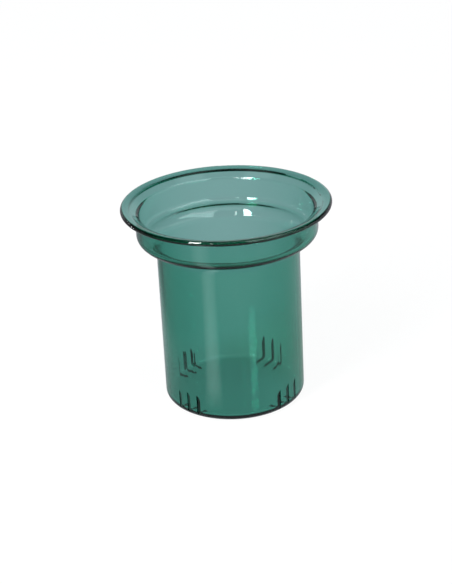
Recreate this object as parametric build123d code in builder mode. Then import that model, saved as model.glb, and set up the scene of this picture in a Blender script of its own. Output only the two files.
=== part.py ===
"""Tea infuser insert: one piece of coloured borosilicate glass.

A length of glass tube is closed to a flat base and stepped out to a wider collar near its mouth, which opens
as a short funnel into a flange with a fire-polished edge. Four groups of three kerfs are then sawn through
the bottom corner, so that each kerf opens both the wall and the floor. The part stands on its base at z = 0,
with +Z up its axis.
"""
from build123d import *
from math import cos, radians, sin, sqrt, tan
import os

# The tube and its base
body_d = 60.2            # outside of the tube
wall = 1.9               # glass thickness of the tube, the step and the collar
floor_t = 2.0            # glass thickness of the base
base_bend_r = 3.2        # outside round between base and tube

# The step out to the collar: two quarter bends, one after the other
neck_bend_r = 4.2        # outside hollow between tube and step
shoulder_bend_r = 3.8    # outside round between step and collar
collar_h = 15.6          # underside of the step to the top of the rim

# The funnel, where the collar opens
funnel_w = 4.2           # reach of the funnel's upper side beyond the collar's inside
funnel_lift = 34.0       # degrees above level
funnel_t = 1.85          # glass thickness
funnel_foot_r = 1.2      # inside round from collar to funnel
funnel_top_r = 4.5       # inside hollow from funnel to flange
funnel_under_r = 1.0     # outside hollow from collar to funnel
funnel_bend_r = 1.4      # outside round from funnel to flange

# The flange, by which the infuser hangs in a cup
height = 87.9            # base to the top of the rim
flange_w = 5.9           # reach of the rim beyond the collar's outside
flange_lift = 10.8       # degrees above level
flange_t = 2.1           # glass thickness, and so the full round of its edge

# The kerfs
kerf_w = 0.6             # width of a saw cut
kerf_pitch = 5.0         # distance between the parallel cuts of a group
kerfs_per_group = 3
blade_d = 100.0          # diamond saw blade
# Each group is sawn by hand: its angle round the axis, how far up the wall and in under the base its middle
# cut reaches, and how much further up the wall each cut goes than its clockwise neighbour.
kerf_groups = (
    (48.0, 12.2, 8.2, 0.4),
    (139.0, 10.6, 7.3, 0.4),
    (224.5, 11.0, 6.5, 0.3),
    (315.0, 11.5, 7.3, 0.7),
)

body_r = body_d / 2
collar_r = body_r + neck_bend_r + shoulder_bend_r
body_inner_r = body_r - wall
collar_inner_r = collar_r - wall
step_z = height - collar_h

# The flange's two faces are tangent to its round edge and rise outward together.
edge_r = flange_t / 2
edge_x = collar_r + flange_w - edge_r
edge_z = height - edge_r
edge_lean = edge_r * sin(radians(flange_lift))
edge_rise = edge_r * cos(radians(flange_lift))
flange_slope = tan(radians(flange_lift))
flange_depth = flange_t / cos(radians(flange_lift))

# The funnel's upper side runs from the flange's upper side down to the collar's inside.
funnel_slope = tan(radians(funnel_lift))
funnel_depth = funnel_t / cos(radians(funnel_lift))
funnel_top_x = collar_inner_r + funnel_w
funnel_top_z = edge_z + flange_depth / 2 + (funnel_top_x - edge_x) * flange_slope
funnel_foot_z = funnel_top_z - funnel_w * funnel_slope

# Its underside lies one thickness below, from the collar's outside to where it meets the flange's underside.
funnel_under_z = funnel_foot_z + wall * funnel_slope - funnel_depth
funnel_bend_x = funnel_top_x + (funnel_depth - flange_depth) / (funnel_slope - flange_slope)
funnel_bend_z = funnel_under_z + (funnel_bend_x - collar_r) * funnel_slope

with BuildPart() as infuser_glass:
    # Half section of the glass: from the middle of the base up the outside to the rim, and back down inside.
    with BuildSketch(Plane.XZ):
        with BuildLine():
            tube_outside = FilletPolyline(
                (0, 0),
                (body_r, 0),
                (body_r, step_z - neck_bend_r),
                radius=base_bend_r,
            )
            neck_outside = JernArc(tube_outside @ 1, (0, 1), neck_bend_r, -90)
            shoulder_outside = JernArc(neck_outside @ 1, (1, 0), shoulder_bend_r, 90)
            mouth_outside = FilletPolyline(
                shoulder_outside @ 1,
                (collar_r, funnel_under_z),
                (funnel_bend_x, funnel_bend_z),
                (edge_x + edge_lean, edge_z - edge_rise),
                radius=[funnel_under_r, funnel_bend_r],
            )
            edge = ThreePointArc(
                mouth_outside @ 1,
                (edge_x + edge_rise, edge_z + edge_lean),
                (edge_x - edge_lean, edge_z + edge_rise),
            )
            mouth_inside = FilletPolyline(
                edge @ 1,
                (funnel_top_x, funnel_top_z),
                (collar_inner_r, funnel_foot_z),
                (collar_inner_r, step_z + shoulder_bend_r),
                radius=[funnel_top_r, funnel_foot_r],
            )
            shoulder_inside = JernArc(mouth_inside @ 1, (0, -1), shoulder_bend_r - wall, -90)
            neck_inside = JernArc(shoulder_inside @ 1, (-1, 0), neck_bend_r + wall, 90)
            tube_inside = FilletPolyline(
                neck_inside @ 1,
                (body_inner_r, floor_t),
                (0, floor_t),
                radius=base_bend_r - wall,
            )
            Line(tube_inside @ 1, tube_outside @ 0)
        make_face()
    revolve(axis=Axis.Z)

    # The kerfs: thin discs plunged into the corner between wall and base, parallel to the group's radius.
    for group_angle, wall_cut, floor_cut, wall_gain in kerf_groups:
        radial = Vector(1, 0, 0).rotate(Axis.Z, group_angle)
        saw_plane = Plane(origin=(0, 0, 0), x_dir=radial, z_dir=radial.cross(Vector(0, 0, 1)))
        for i in range(kerfs_per_group):
            place = i - (kerfs_per_group - 1) / 2  # counted clockwise from the middle cut
            # The blade's edge runs from the base to the wall; its centre lies out beyond the middle of that.
            reach = wall_cut - place * wall_gain
            chord = sqrt(floor_cut ** 2 + reach ** 2)
            drop = sqrt((blade_d / 2) ** 2 - (chord / 2) ** 2)
            blade_x = body_r - floor_cut / 2 + drop * reach / chord
            blade_z = reach / 2 - drop * floor_cut / chord
            with BuildSketch(saw_plane.offset(place * kerf_pitch)):
                with Locations((blade_x, blade_z)):
                    Circle(blade_d / 2)
            extrude(amount=kerf_w / 2, both=True, mode=Mode.SUBTRACT)

infuser_glass.part.label = "infuser_glass"
os.makedirs("parts", exist_ok=True)
export_step(infuser_glass.part, "parts/infuser_glass.step")
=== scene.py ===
import math

import bpy
import numpy as np
from mathutils import Matrix, Vector


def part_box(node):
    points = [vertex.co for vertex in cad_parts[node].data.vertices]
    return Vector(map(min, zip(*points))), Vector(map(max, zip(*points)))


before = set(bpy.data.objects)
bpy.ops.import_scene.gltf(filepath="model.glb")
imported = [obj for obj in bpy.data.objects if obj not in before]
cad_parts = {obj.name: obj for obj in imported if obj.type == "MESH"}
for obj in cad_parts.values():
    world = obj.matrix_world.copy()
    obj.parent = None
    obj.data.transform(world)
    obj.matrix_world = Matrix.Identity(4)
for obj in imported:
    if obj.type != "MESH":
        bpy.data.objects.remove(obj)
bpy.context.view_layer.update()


# The infuser is one piece of blue-green borosilicate glass, closed, blown and flared in a flame from
# 60 mm tube. Its skin is fire-polished, with the tube's faint draw lines and a slight waviness from the
# lathe. The kerfs come last, sawn through the corner with a diamond blade, and their faces stay ground.
class Reading:
    """One socket of a material. Arithmetic on readings adds the Math nodes that work it out."""

    def __init__(self, socket):
        self.socket = socket

    @staticmethod
    def node(tree, kind, settings, sockets):
        """Adds a node of a kind: first its settings, then the values or links of its sockets."""
        made = tree.nodes.new(kind)
        for name, value in settings.items():
            setattr(made, name, value)
        for name, value in sockets.items():
            if isinstance(value, Reading):
                value = value.socket
            if isinstance(value, bpy.types.NodeSocket):
                tree.links.new(value, made.inputs[name])
            else:
                made.inputs[name].default_value = value
        return made

    def maths(self, operation, *terms):
        made = Reading.node(
            self.socket.id_data, "ShaderNodeMath", {"operation": operation}, dict(enumerate(terms)),
        )
        return Reading(made.outputs[0])

    def __add__(self, other):
        return self.maths("ADD", self, other)

    def __sub__(self, other):
        return self.maths("SUBTRACT", self, other)

    def __rsub__(self, other):
        return self.maths("SUBTRACT", other, self)

    def __neg__(self):
        return self.maths("SUBTRACT", 0, self)

    def __mul__(self, other):
        return self.maths("MULTIPLY", self, other)

    def __truediv__(self, other):
        return self.maths("DIVIDE", self, other)

    def __pow__(self, other):
        return self.maths("POWER", self, other)

    def __gt__(self, other):
        return self.maths("GREATER_THAN", self, other)

    def __lt__(self, other):
        return self.maths("LESS_THAN", self, other)

    __radd__ = __add__
    __rmul__ = __mul__

    def at_least(self, floor):
        return self.maths("MAXIMUM", self, floor)

    def at_most(self, ceiling):
        return self.maths("MINIMUM", self, ceiling)

    def ramp(self, start, end):
        """0 up to the start, 1 past the end and a straight climb between them."""
        made = Reading.node(
            self.socket.id_data, "ShaderNodeMapRange", {},
            {"Value": self, "From Min": start, "From Max": end},
        )
        return Reading(made.outputs[0])


def emptied_tree(owner):
    """The node tree of a material or a world, switched on and cleared."""
    owner.use_nodes = True
    owner.node_tree.nodes.clear()
    return owner.node_tree


def coordinates(tree, kind):
    """One of Texture Coordinate's outputs, whole and as its x, y and z."""
    place = Reading.node(tree, "ShaderNodeTexCoord", {}, {}).outputs[kind]
    parts = Reading.node(tree, "ShaderNodeSeparateXYZ", {}, {"Vector": place}).outputs
    return place, *(Reading(part) for part in parts)


def noise(tree, place, cells_per_metre, detail):
    """Smooth noise from 0 to 1 at a place, with so many finer layers as its detail says."""
    made = Reading.node(
        tree, "ShaderNodeTexNoise", {}, {"Vector": place, "Scale": cells_per_metre, "Detail": detail},
    )
    return Reading(made.outputs[0])


def mixed_colour(tree, factor, first, second):
    """The first colour where the factor is 0 and the second where it is 1."""
    made = Reading.node(
        tree, "ShaderNodeMix", {"data_type": "RGBA"}, {"Factor": factor, "A": first, "B": second},
    )
    return made.outputs["Result"]


def mixed_shader(tree, factor, first, second):
    """The first shader where the factor is 0 and the second where it is 1."""
    return Reading.node(tree, "ShaderNodeMixShader", {}, {0: factor, 1: first, 2: second}).outputs[0]


wall = 0.0019
base_bend = 0.0032
sawn_below = 0.018
skin_depth = 0.00008
ground_share = 0.85
refraction = 1.474
light_lost_per_metre = (568.0, 201.0, 265.0)

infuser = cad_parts["infuser_glass"]
base_corner, rim_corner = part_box("infuser_glass")
height = rim_corner.z - base_corner.z
under_collar = base_corner.z + 0.75 * height
skin_points = np.empty(3 * len(infuser.data.vertices), dtype=np.float32)
infuser.data.vertices.foreach_get("co", skin_points)
skin_points = skin_points.reshape(-1, 3)
tube_points = skin_points[skin_points[:, 2] < under_collar]
tube_radius = float(np.hypot(tube_points[:, 0], tube_points[:, 1]).max())

glass = bpy.data.materials.new("green_glass")
tree = emptied_tree(glass)
place, x, y, z = coordinates(tree, "Object")

# A kerf's faces are all that lies between the tube's two skins. The inner skin runs one wall inside the
# outer one, round the bend too, so the distance from the bend's centre line tells them apart, and what
# is within a skin's depth of either belongs to that skin.
out_from_core = ((x * x + y * y) ** 0.5 - (tube_radius - base_bend)).at_least(0)
down_from_core = ((base_corner.z + base_bend) - z).at_least(0)
from_core = (out_from_core * out_from_core + down_from_core * down_from_core) ** 0.5
between_skins = (from_core > base_bend - wall + skin_depth) * (from_core < base_bend - skin_depth)
kerf_face = between_skins * (z < base_corner.z + sawn_below)

drawn = Reading.node(tree, "ShaderNodeMapping", {}, {"Vector": place, "Scale": (1, 1, 0.03)})
draw_lines = noise(tree, drawn.outputs[0], 260.0, 1.0)
lathe_waves = noise(tree, place, 70.0, 0.0)
skin = Reading.node(
    tree, "ShaderNodeBump", {},
    {"Height": draw_lines * 0.2 + lathe_waves, "Strength": 1.0, "Distance": 0.000002},
)
polished = Reading.node(
    tree, "ShaderNodeBsdfPrincipled", {},
    {
        "Base Color": mixed_colour(tree, lathe_waves, (0.985, 1.0, 0.995, 1), (1.0, 1.0, 1.0, 1)),
        "Roughness": 0.0,
        "IOR": refraction,
        "Transmission Weight": 1.0,
        "Normal": skin.outputs[0],
    },
)
grit = noise(tree, place, 2500.0, 3.0)
ground = Reading.node(
    tree, "ShaderNodeBsdfPrincipled", {},
    {
        "Base Color": mixed_colour(tree, grit, (0.0, 0.025, 0.018, 1), (0.004, 0.06, 0.045, 1)),
        "Roughness": 0.6,
        "IOR": refraction,
        "Specular IOR Level": 0.1,
    },
)
surface = mixed_shader(tree, kerf_face * ground_share, polished.outputs[0], ground.outputs[0])

# Absorption takes 1 - colour times the density. The density is a little over the greatest loss, which
# keeps all three parts of the colour above 0.
density = 1.05 * max(light_lost_per_metre)
depth_of_colour = Reading.node(
    tree, "ShaderNodeVolumeAbsorption", {},
    {"Color": (*(1 - lost / density for lost in light_lost_per_metre), 1), "Density": density},
)
Reading.node(
    tree, "ShaderNodeOutputMaterial", {}, {"Surface": surface, "Volume": depth_of_colour.outputs[0]},
)
infuser.material_slots[0].material = glass


# The table is a pale matt laminate board, and the infuser stands on it with a hair of air under its
# base. Seen directly the board is white with a faint shadow. Seen in the glass it glows with painted
# light: the grey of the studio, with a painted green shadow of the infuser behind it and a painted
# streak of gathered light in front.
air_gap = 0.0002
table_half = 6.0
table_top = base_corner.z - air_gap
table_white = 1.04
matt_share = 0.10
# Colours of the board's painted light and shade in the glass: the studio's grey, a lighter, bluer grey
# far behind, the green shadow and the streak.
studio_grey = (0.90, 1.0, 1.04)
painted_light_far_behind = (1.07, 1.0, 1.11, 1)
shadow_green = (0.76, 0.91, 0.86, 1)
streak_green = (1.3, 1.65, 1.6)


def scaled(tree, colour, level):
    """A colour made brighter or darker by a level."""
    return Reading.node(
        tree, "ShaderNodeVectorMath", {"operation": "SCALE"}, {"Vector": colour, "Scale": level},
    ).outputs[0]


board = bpy.data.meshes.new("table")
board.from_pydata(
    [
        (-table_half, -table_half, table_top),
        (table_half, -table_half, table_top),
        (table_half, table_half, table_top),
        (-table_half, table_half, table_top),
    ],
    [],
    [(0, 1, 2, 3)],
)
table = bpy.data.objects.new("table", board)
bpy.context.scene.collection.objects.link(table)

laminate = bpy.data.materials.new("pale_laminate")
tree = emptied_tree(laminate)
_, x, y, _ = coordinates(tree, "Object")
from_axis = (x * x + y * y) ** 0.5
ray = Reading.node(tree, "ShaderNodeLightPath", {}, {}).outputs
in_glass = (Reading(ray["Is Glossy Ray"]) + Reading(ray["Is Transmission Ray"])).at_most(1)

# How bright the board is painted where the glass sees it: its plain grey, and the patches where the
# room's light makes it brighter, painted into its glow. Each patch is a place in metres from the
# infuser's axis, and what it adds there.
plain = 0.43
behind = y.ramp(-0.02, 0.05) * 0.10
far_in_front = (-y).ramp(0.10, 0.16) * 0.22
right = (x - y * 0.3).ramp(0.02, 0.08) * 0.05
right_front = (
    (x + y * 0.45).ramp(0.0, 0.03) * (-y).ramp(-0.02, 0.02) * from_axis.ramp(0.13, 0.20) * 0.12
)
near_right = x.ramp(0.003, 0.020) * from_axis.ramp(0.075, 0.045) * 0.07
lit = plain + behind + far_in_front + right + right_front + near_right

# These are shares of that painted light: it falls away on the left, a painted shade, and under the
# base it is a little weaker at the back and stronger at the front, a painted contact shade and a
# painted pool of light.
left_dark = (-x).ramp(0.065, 0.10) * (-y).ramp(0.12, 0.06) * 0.45
round_base = from_axis.ramp(0.028, 0.062) * 0.10
under_front = y.ramp(0.012, -0.018) * from_axis.ramp(0.034, 0.028) * 0.20
level = lit * (1 - left_dark) * (0.90 + round_base + under_front)

# The painted green shadow lies on the diagonal away from the strip light, and is about as wide as
# the rim.
diagonal = math.sqrt(0.5)
shadow_half = 0.04
away_from_lamp = (x + y) * diagonal
aside = (x - y) * diagonal
green_shadow = (
    (1 - aside * aside / shadow_half ** 2).at_least(0)
    * away_from_lamp.ramp(0.012, 0.030) * away_from_lamp.ramp(0.13, 0.06)
)

# The painted streak of gathered light starts beside the tube and fans out towards the viewer,
# brightest along its middle. The glass's skin mirrors it, but a ray that comes straight out of the
# glass doesn't meet it.
streak_start = (-0.0110, -0.0277)
streak_turn = math.radians(-37.5)
streak_half_at_start = 0.0062
streak_fan = 0.20
along = (x - streak_start[0]) * math.sin(streak_turn) - (y - streak_start[1]) * math.cos(streak_turn)
across = (x - streak_start[0]) * math.cos(streak_turn) + (y - streak_start[1]) * math.sin(streak_turn)
half_width = along.at_least(0) * streak_fan + streak_half_at_start
streak = (
    (1 - across * across / (half_width * half_width)).at_least(0)
    * along.ramp(0.010, 0.030) * along.ramp(0.42, 0.05)
    * (1 - Reading(ray["Is Transmission Ray"]))
)

# The board's colour in the glass is painted light: the studio's grey, lighter and bluer far behind, with
# the painted green shadow laid over it.
board_grey = mixed_colour(tree, y.ramp(0.12, 0.17), (*studio_grey, 1), painted_light_far_behind)
painted_board_light = mixed_colour(tree, green_shadow, board_grey, shadow_green)
board_light = Reading.node(
    tree, "ShaderNodeVectorMath", {"operation": "ADD"},
    {0: scaled(tree, painted_board_light, level), 1: scaled(tree, streak_green, streak)},
)
glow = Reading.node(tree, "ShaderNodeEmission", {}, {"Color": board_light.outputs[0], "Strength": 1.0})
matt = Reading.node(tree, "ShaderNodeBsdfDiffuse", {}, {"Color": (0.6, 0.6, 0.6, 1)})
white = Reading.node(tree, "ShaderNodeEmission", {}, {"Strength": table_white})
seen_in_glass = mixed_shader(tree, in_glass, matt.outputs[0], glow.outputs[0])
shaded_white = mixed_shader(tree, matt_share, white.outputs[0], matt.outputs[0])
whole = mixed_shader(tree, Reading(ray["Is Camera Ray"]), seen_in_glass, shaded_white)
Reading.node(tree, "ShaderNodeOutputMaterial", {}, {"Surface": whole})
board.materials.append(laminate)


# The room round the table: a pale backdrop low down behind it, dim on the left, a broad diffusing
# screen on the right, and soft light from the ceiling. Seen directly the room is white.
studio = bpy.data.worlds.new("studio")
bpy.context.scene.world = studio
tree = emptied_tree(studio)
_, x, y, z = coordinates(tree, "Generated")
ray = Reading.node(tree, "ShaderNodeLightPath", {}, {}).outputs

dimmest = 0.02
low = z.ramp(0.53, 0.30)
behind = y.ramp(-0.1, 0.2) * 0.46
left_dark = (-x).ramp(0.5, 0.7) * 0.55
right_front = x.ramp(0.34, 0.40) * y.ramp(0.35, 0.0) * z.ramp(0.55, 0.45)
backdrop = low * (0.14 + behind) * (1 - left_dark) + right_front * 0.8
zenith_gap = z.ramp(0.97, 0.985) * y.ramp(-0.02, 0.02)
ceiling = z.ramp(0.86, 0.90) * (0.75 - y * 0.8) * (1 - zenith_gap)

# The screen runs from beside the viewer round to just behind the right, between two upright edges and
# above one that slopes. Each edge lies in a plane through the room's centre, given by the direction at
# right angles to it: an angle counted from the right for the upright ones, a vector for the other.
front_edge = math.radians(19)
back_edge = math.radians(102)
lower_edge = (-0.55, -0.12, 0.616)
edge_blur = 0.012
screen_brightness = 3.2
past_front_edge = (x * math.cos(front_edge) + y * math.sin(front_edge)).ramp(0, edge_blur)
before_back_edge = (x * math.cos(back_edge) + y * math.sin(back_edge)).ramp(0, -edge_blur)
above_lower_edge = (x * lower_edge[0] + y * lower_edge[1] + z * lower_edge[2]).ramp(0, edge_blur)
below_ceiling = z.ramp(0.885, 0.875)
screen = past_front_edge * before_back_edge * above_lower_edge * below_ceiling * screen_brightness

room_grey = scaled(tree, studio_grey, backdrop + ceiling + screen + dimmest)
shown = mixed_colour(tree, Reading(ray["Is Camera Ray"]), room_grey, (1, 1, 1, 1))
sky = Reading.node(tree, "ShaderNodeBackground", {}, {"Color": shown, "Strength": 1.0})
Reading.node(tree, "ShaderNodeOutputWorld", {}, {"Surface": sky.outputs[0]})


# The lamps are softboxes: a tall strip light at the front left, a weak one nearer the viewer, and two
# small ones that stand for the panes of a window at the back left. Each is given by the direction it
# stands in, counted from the viewer's side, the size of its cloth and how bright the cloth is.
lamp_distance = 1.0
lamp_height_from = base_corner.z + 0.85 * height


def softbox(name, azimuth, elevation, width, tall, lean, brightness):
    """A lit upright cloth that faces the glass, turned in its own plane by lean. Angles in degrees."""
    turn = math.radians(azimuth)
    facing = Vector((-math.sin(turn), math.cos(turn), 0))
    lamp = bpy.data.lights.new(name, "AREA")
    lamp.shape = "RECTANGLE"
    lamp.size = width
    lamp.size_y = tall
    lamp.energy = brightness * math.pi * width * tall
    stand = bpy.data.objects.new(name, lamp)
    stand.location = (
        math.sin(turn) * lamp_distance,
        -math.cos(turn) * lamp_distance,
        lamp_height_from + lamp_distance * math.tan(math.radians(elevation)),
    )
    stand.rotation_euler = (
        facing.to_track_quat("-Z", "Y").to_matrix() @ Matrix.Rotation(math.radians(lean), 3, "Z")
    ).to_euler()
    stand.visible_camera = False
    bpy.context.scene.collection.objects.link(stand)


softbox("strip_light", azimuth=-45, elevation=48, width=0.235, tall=1.72, lean=7.5, brightness=30)
softbox("edge_light", azimuth=-20.5, elevation=34, width=0.065, tall=0.80, lean=4, brightness=6.5)
softbox("low_window_light", azimuth=-117, elevation=3.5, width=0.13, tall=0.11, lean=0, brightness=16)
softbox("high_window_light", azimuth=-138, elevation=24.5, width=0.06, tall=0.13, lean=0, brightness=3)


# The camera stands in front of the glass, well above its mouth, and is turned slightly about its own
# line of sight. Its distances are counted in rim radii, which ties it to the frame, its turns are in
# radians, and its lens is given as a share of the sensor's longer side.
rim_radius = (rim_corner.x - base_corner.x) / 2
camera_away = 13.42705
camera_up = 7.24367
camera_round = math.radians(-3.0)
look_down = 0.43183
look_aside = -0.00321
camera_roll = 0.05265
sensor = 36
lens_share = 2.61705048

facing = Vector((
    math.sin(look_aside) * math.cos(look_down),
    math.cos(look_aside) * math.cos(look_down),
    -math.sin(look_down),
))
level_right = Vector((math.cos(look_aside), -math.sin(look_aside), 0))
level_down = facing.cross(level_right)
right = math.cos(camera_roll) * level_right + math.sin(camera_roll) * level_down
up = math.sin(camera_roll) * level_right - math.cos(camera_roll) * level_down
pose = Matrix((right, up, -facing)).transposed().to_4x4()
pose.translation = Vector((0, -camera_away, camera_up)) * rim_radius
camera = bpy.data.objects.new("camera", bpy.data.cameras.new("camera"))
camera.matrix_world = Matrix.Rotation(camera_round, 4, "Z") @ pose
camera.data.sensor_width = sensor
camera.data.lens = sensor * lens_share
camera.data.clip_start = 0.01
camera.data.clip_end = 100
bpy.context.scene.collection.objects.link(camera)
bpy.context.scene.camera = camera
bpy.context.scene.view_settings.view_transform = "Standard"
